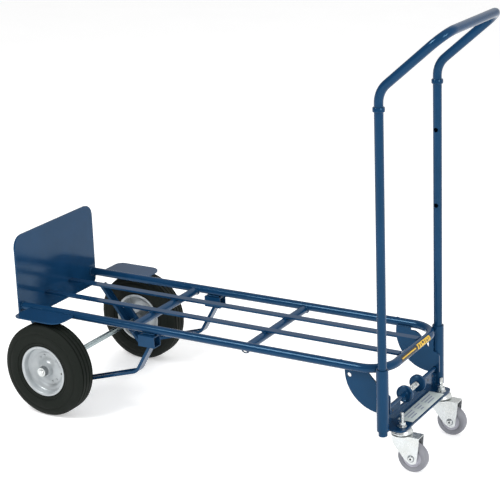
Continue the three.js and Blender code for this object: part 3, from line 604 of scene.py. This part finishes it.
def build_axle():
    rod = [(0, -261), (6.9, -261), (8, -259.8), (8, 259.8), (6.9, 261), (0, 261)]
    piece("axle_rod", lathe_mesh("axle_rod", rod, at(0, 0, WHEEL_R), "y", 1, 40), "frame", CHROME, ["axle"])
    for name, side in SIDES.items():
        centre = at(0, 0, WHEEL_R)
        spacer = [(8.2, 178), (11.2, 178), (12, 178.8), (12, 190), (11.2, 190.6), (8.2, 190.6)]
        piece(f"axle_collar_{name}", lathe_mesh("spacer", spacer, centre, "y", side, 40, True), "frame", ZINC,
              [f"axle_spacer_{name}"])
        cap = [(0, 263.4), (6.4, 263.4), (7.6, 263.0), (8.2, 262.0), (8.4, 260.4), (10.7, 260.3), (12.3, 260.1),
               (12.5, 259.6), (12.5, 257.9), (12.1, 257.4), (0, 257.4)]
        piece(f"hub_cap_{name}", lathe_mesh("hub_cap", cap, centre, "y", side, 40), "frame", ZINC,
              [f"axle_cap_{name}"])


# ------------------------------------------------------------------ folding unit
def build_base():
    keep("caster_bracket", BLUE, 0.9)
    for name, side in SIDES.items():
        inner = side * (SLEEVE_Y - SLEEVE_R)
        made = pipe("sleeve", SLEEVE_X, side * SLEEVE_Y, SLEEVE_LOW, SLEEVE_HIGH, SLEEVE_R, 12.1)
        made = drilled(made, [(at(SLEEVE_X, inner + side * 0.5, LATCH_Z), 5.9)])
        piece(f"sleeve_tube_{name}", made, "handle_base", BLUE, [f"sleeve_{name}"])
        boss = [(4.4, 149), (8.4, 149), (9, 149.6), (9, 155.5), (4.4, 155.5)]
        piece(f"pivot_boss_{name}", lathe_mesh("boss", boss, at(PIVOT_X, 0, PIVOT_Z), "y", side, 36, True),
              "handle_base", BLUE)
        head = PLATE_IN - 0.3
        bolt = [(0, head - 5.5), (3.6, head - 5.4), (5.6, head - 4.6), (7.0, head - 3.0), (7.5, head - 1.2),
                (7.5, head), (3.9, head), (3.9, 153), (0, 153)]
        piece(f"pivot_rivet_{name}", lathe_mesh("rivet", bolt, at(PIVOT_X, 0, PIVOT_Z), "y", side, 36),
              "frame", ZINC, [f"pivot_bolt_{name}"])
        inner = side * (SLEEVE_Y - SLEEVE_R - 0.2)
        weld(f"web_weld_{name}", "handle_base",
             [at(WEB_FRONT + 0.6, inner, SHELF_TOP + 3), at(WEB_FRONT + 0.6, inner, 144)], 2.0)
        weld(f"shelf_weld_{name}", "handle_base",
             [at(WEB_FRONT + 2, inner, SHELF_TOP + 0.8), at(SLEEVE_X + 12, inner + side * 3, SHELF_TOP + 0.8)],
             1.8)
        # Black discs on the web front: painted shade for the dark inside of the two holes.
        for k, y in enumerate((104, 134), 1):
            spot = at(WEB_FRONT - 0.4, side * y, 142)
            hole = [(0, 0), (3.2, 0), (3.6, 0.6), (3.0, 0.7), (0, 0.7)]
            piece(f"web_hole_{name}_{k}", lathe_mesh("web_hole_shade", hole, spot, "x", 1, 24), "handle_base", BLACK)
        build_caster(name, side)


def build_caster(name, side):
    swivel, wheel = f"caster_swivel_{name}", f"caster_wheel_{name}"
    spot = at(CASTER_X, side * CASTER_Y, 0)
    stem = [(0, 94.9), (21.5, 94.9), (25.4, 96.2), (27, 98.6), (27, 100.6), (25.6, 101.6), (25.6, 103),
            (24.6, 105.6), (21.5, 107.3), (5, 107.3), (5, 112), (4.9, 124)]
    for k in range(16):  # the screw thread above the nut
        z = 124.5 + 1.35 * k
        stem += [(4.85, z), (4.2, z + 0.65)]
    stem += [(4.6, 146.6), (3.6, 148), (0, 148)]
    piece(f"caster_race_{name}", lathe_mesh("race", stem, spot, "z", 1, 48), "handle_base", ZINC,
          [f"caster_stem_{name}"], 60)
    piece(f"lock_nut_{name}", nut_mesh("lock_nut", 9.8, 10.6, spot + Vector((0, 0, 113.2 * MM)), "z"),
          "handle_base", ZINC, [f"stem_nut_{name}"])
    washer = [(5.3, 0), (11.6, 0), (12, 0.4), (12, 1.2), (11.6, 1.5), (5.3, 1.5)]
    piece(f"nut_washer_{name}", lathe_mesh("washer", washer, spot + Vector((0, 0, SHELF_TOP * MM + 0.0002)),
                                          "z", 1, 36, True), "handle_base", ZINC)
    keep(f"caster_fork_{name}", ZINC, 0.7)
    y = side * CASTER_Y
    dish = [(26.2, 93.4), (26.2, 91.2), (24, 90.4), (20, 90.6), (20, 93.4)]
    piece(f"fork_dish_{name}", lathe_mesh("fork_dish", dish, spot, "z", 1, 48, True), swivel, ZINC)
    axle = at(CASTER_X + TRAIL, y, CASTER_R)
    tread = [(24.2, -11.2), (25, -11.9), (30, -12.4), (33.4, -12.4), (35.4, -11.4), (37, -9.4), (37.8, -6.4),
             (38, -2.5), (38, 2.5), (37.8, 6.4), (37, 9.4), (35.4, 11.4), (33.4, 12.4), (30, 12.4),
             (25, 11.9), (24.2, 11.2)]
    piece(f"caster_tyre_{name}", lathe_mesh("caster_tyre", tread, axle, "y", 1, 72, True), wheel, GREY,
          [f"caster_tread_{name}"], 50)
    core = [(4.3, -13.5), (9.6, -13.5), (11, -12.7), (11.4, -9.8), (13.4, -8.6), (20.4, -8.8), (21.6, -10.2),
            (23.7, -10.6), (23.7, 10.6), (21.6, 10.2), (20.4, 8.8), (13.4, 8.6), (11.4, 9.8), (11, 12.7),
            (9.6, 13.5), (4.3, 13.5)]
    piece(f"caster_core_{name}", lathe_mesh("caster_core", core, axle, "y", 1, 60, True), wheel, HUB,
          [f"caster_hub_{name}"], 40)
    out = CASTER_HALF + 1.4 + 2 + 0.3
    bolt = [(0, -out - 2.4), (2.6, -out - 2.4), (3.1, -out - 4), (4.8, -out - 4), (6.3, -out - 3.2),
            (7, -out - 1.8), (7, -out), (4, -out), (4, out + 4.8), (3.2, out + 5.5), (0, out + 5.5)]
    piece(f"wheel_bolt_{name}", lathe_mesh("wheel_bolt", bolt, axle, "y", 1, 32), swivel, ZINC,
          [f"caster_bolt_{name}"])
    # A black disc at the bottom of the bolt head's recess: painted shade in the socket.
    socket = [(0, -out - 2.5), (2.4, -out - 2.5), (2.4, -out - 1.5), (0, -out - 1.5)]
    piece(f"bolt_socket_{name}", lathe_mesh("bolt_socket_shade", socket, axle, "y", 1, 24), swivel, BLACK)
    for label, way in (("head", -1), ("nut", 1)):
        boss = [(7.3, out - 0.5), (9.4, out - 0.5), (9.2, out + 0.3), (8.5, out + 0.8), (7.3, out + 0.9)]
        piece(f"fork_boss_{name}_{label}", lathe_mesh("fork_boss", boss, axle, "y", way, 40, True), swivel,
              DULL_ZINC_AND_HUB_SHADE)
    piece(f"wheel_nut_{name}", nut_mesh("wheel_nut", 7.4, 4, axle + Vector((0, out * MM, 0)), "y"), swivel,
          ZINC, [f"caster_nut_{name}"])


# ------------------------------------------------------------------ latch
def build_latch():
    for name, side in SIDES.items():
        body = f"latch_{name}"
        centre = at(SLEEVE_X, 0, LATCH_Z)
        rod = [(0, 12), (4.6, 12), (4.9, 12.5), (4.9, DISC_Y - 5), (ROD_R, DISC_Y - 5), (ROD_R, 140.9),
               (3.8, 142.4), (0, 142.4)]
        piece(f"latch_bar_{name}", lathe_mesh("latch_bar", rod, centre, "y", side, 32), body, BLUE,
              [f"latch_rod_{name}"])
        low, high = DISC_Y - DISC_T / 2, DISC_Y + DISC_T / 2
        disc = [(5.5, low), (17.5, low), (18.6, low + 0.9), (20.2, low + 0.3), (21.4, low + 0.8),
                (22, low + 2.2), (22, high - 2.2), (21.4, high - 0.8), (20, high), (18.2, high - 0.6),
                (16.6, high - 2.0), (9, high - 2.2), (8, high - 0.8), (5.5, high - 0.6)]
        piece(f"latch_disc_{name}", lathe_mesh("latch_disc", disc, centre, "y", side, 56, True), body, BLUE,
              [f"latch_grip_{name}"])
    turns, wire, coil = 15, 1.2, 6.0
    half = DISC_Y - DISC_T / 2 - 1.2
    steps = turns * 20
    stations = []
    for k in range(steps + 1):
        a = 2 * math.pi * turns * k / steps
        y = -half + 2 * half * k / steps
        rise = 2 * half / (turns * 2 * math.pi)
        place = at(SLEEVE_X + coil * math.cos(a), y, LATCH_Z + coil * math.sin(a))
        stations.append((place, Vector((-coil * math.sin(a), rise, coil * math.cos(a))).normalized()))
    shape = bmesh.new()
    sweep(shape, stations, lambda i: wire * MM, 8)
    piece("latch_coil", mesh_of("latch_coil", shape), "handle_base", ZINC, ["latch_spring"], 80)


# ------------------------------------------------------------------ telescoping handle
def build_handle():
    for name, side in SIDES.items():
        y = side * SLEEVE_Y
        made = pipe("slide_tube", SLEEVE_X, y, TUBE_LOW, TUBE_TOP, TUBE_R, 9.5)
        made = drilled(made, [(at(SLEEVE_X, side * (SLEEVE_Y - TUBE_R), LATCH_Z + rise), 5.9)
                              for rise in (0, 433, 627)])
        piece(f"slide_tube_{name}", made, "handle", BLUE, [f"handle_tube_{name}"])
        ring = [(11.3, -COLLAR_HALF), (13.6, -COLLAR_HALF), (COLLAR_R, -COLLAR_HALF + 1.0),
                (COLLAR_R, COLLAR_HALF - 1.4), (13.8, COLLAR_HALF - 0.3), (12.6, COLLAR_HALF),
                (11.3, COLLAR_HALF)]
        piece(f"tube_collar_{name}", lathe_mesh("tube_collar", ring, at(SLEEVE_X, y, COLLAR_Z), "z", 1, 48,
                                               True), "handle", BLUE, [f"handle_collar_{name}"])
    legs = {}
    for side in (-1, 1):
        y = side * SLEEVE_Y
        legs[side] = [at(SLEEVE_X, y, TUBE_TOP + 0.3), at(SLEEVE_X, y, GRIP_BEND_Z), at(GRIP_X, y, GRIP_Z)]
    radii = [GRIP_BEND_R, GRIP_CORNER_R, GRIP_CORNER_R, GRIP_BEND_R]
    path = legs[-1] + legs[1][::-1]
    piece("grip_tube", tube_mesh("grip_tube", path, radii, TUBE_R), "handle", BLUE, ["handle_loop"])


# ------------------------------------------------------------------ labels
def strip(shape, y0, y1, a0, a1, radius, index):
    """A patch on the end bar's round front, between two angles about its axis."""
    count = 14
    rows = []
    for k in range(count + 1):
        a = math.radians(a0 + (a1 - a0) * k / count)
        x, z = LOOP_END + radius * math.cos(a), RAIL_Z + radius * math.sin(a)
        rows.append([shape.verts.new(at(x, y0, z)), shape.verts.new(at(x, y1, z))])
    for one, two in zip(rows, rows[1:]):
        shape.faces.new((one[0], one[1], two[1], two[0])).material_index = index


def build_labels():
    shape = bmesh.new()
    strip(shape, -84, 84, -12, 62, RAIL_R + 0.16, 0)
    strip(shape, 8, 82, -10, 60, RAIL_R + 0.24, 1)
    strip(shape, -80, -2, 22, 38, RAIL_R + 0.24, 1)
    for k, (y, width, low, high) in enumerate(((14, 6, 0, 46), (26, 4, 8, 40), (36, 8, 20, 48), (50, 3, 0, 48),
                                               (59, 7, 4, 30), (71, 3, 0, 44))):
        strip(shape, y, y + width, low, high, RAIL_R + 0.32, 0)
    mesh = bpy.data.meshes.new("loop_label")
    shape.to_mesh(mesh)
    shape.free()
    piece("loop_label", mesh, "frame", [BLACK, YELLOW])
    base = round_corners([(963.5, -86, 2), (1004, -86, 2), (1004, 104, 2), (963.5, 104, 2)])
    piece("shelf_label", plate_mesh("shelf_label", base, [], 0.4, 0.1, flat(SHELF_TOP + 0.3)), "handle_base",
          LABEL)
    for k, (y, length) in enumerate(((-66, 46), (-8, 30), (34, 52)), 1):
        for row in range(3):
            x = 971 + 9 * row
            bar = round_corners([(x, y, 0.8), (x + 3.2, y, 0.8), (x + 3.2, y + length - 7 * row, 0.8),
                                 (x, y + length - 7 * row, 0.8)], 3)
            piece(f"label_bar_{k}_{row + 1}", plate_mesh("label_bar", bar, [], 0.16, 0.04,
                                                        flat(SHELF_TOP + 0.56)), "handle_base", INK)


# ------------------------------------------------------------------ floor and light
def build_studio():
    size = 60
    mesh = bpy.data.meshes.new("floor")
    mesh.from_pydata([(-size, -size, 0), (size, -size, 0), (size, size, 0), (-size, size, 0)], [],
                     [(0, 1, 2, 3)])
    floor = bpy.data.objects.new("floor", mesh)
    bpy.context.collection.objects.link(floor)
    made, tree, shader = material("studio_floor", (0.86, 0.86, 0.86), 0.7)
    shader.inputs["Specular IOR Level"].default_value = 0.2
    tree.links.new(ramp(tree, noise(tree, 3, 2), 0.3, 0.7, (0.92, 0.92, 0.92), (0.94, 0.94, 0.94)),
                   shader.inputs["Base Color"])
    shader.inputs["Emission Color"].default_value = (1, 1, 1, 1)
    shader.inputs["Emission Strength"].default_value = 0.36
    mesh.materials.append(made)
    world = bpy.data.worlds.new("studio")
    world.use_nodes = True
    sky = world.node_tree
    coords = sky.nodes.new("ShaderNodeTexCoord")
    toward = sky.nodes.new("ShaderNodeVectorMath")
    toward.operation = "DOT_PRODUCT"
    toward.inputs[1].default_value = (0.83, 0.50, 0.25)
    sky.links.new(coords.outputs["Generated"], toward.inputs[0])
    sky.links.new(remap(sky, toward.outputs["Value"], -0.8, 0.95, 0.16, 1.0),
                  sky.nodes["Background"].inputs["Strength"])
    sky.nodes["Background"].inputs["Color"].default_value = (1, 1, 1, 1)
    bpy.context.scene.world = world
    target = Vector((0.1, 0, 0.4))
    for name, place, size, power in (("key", (-1.6, -2.6, 3.4), 1.6, 120), ("fill", (3.2, -1.2, 2.0), 1.2, 46),
                                     ("back", (0.4, 3.0, 3.4), 3.2, 10)):
        data = bpy.data.lights.new(name, "AREA")
        data.size = size
        data.energy = power
        light = bpy.data.objects.new(name, data)
        light.location = place
        light.rotation_euler = (target - Vector(place)).to_track_quat("-Z", "Y").to_euler()
        bpy.context.collection.objects.link(light)
    bpy.context.scene.view_settings.view_transform = "Standard"


build_frame()
build_axle()
for wheel_name, wheel_side in SIDES.items():
    build_big_wheel(wheel_name, wheel_side)
build_base()
build_latch()
build_handle()
build_labels()
build_studio()
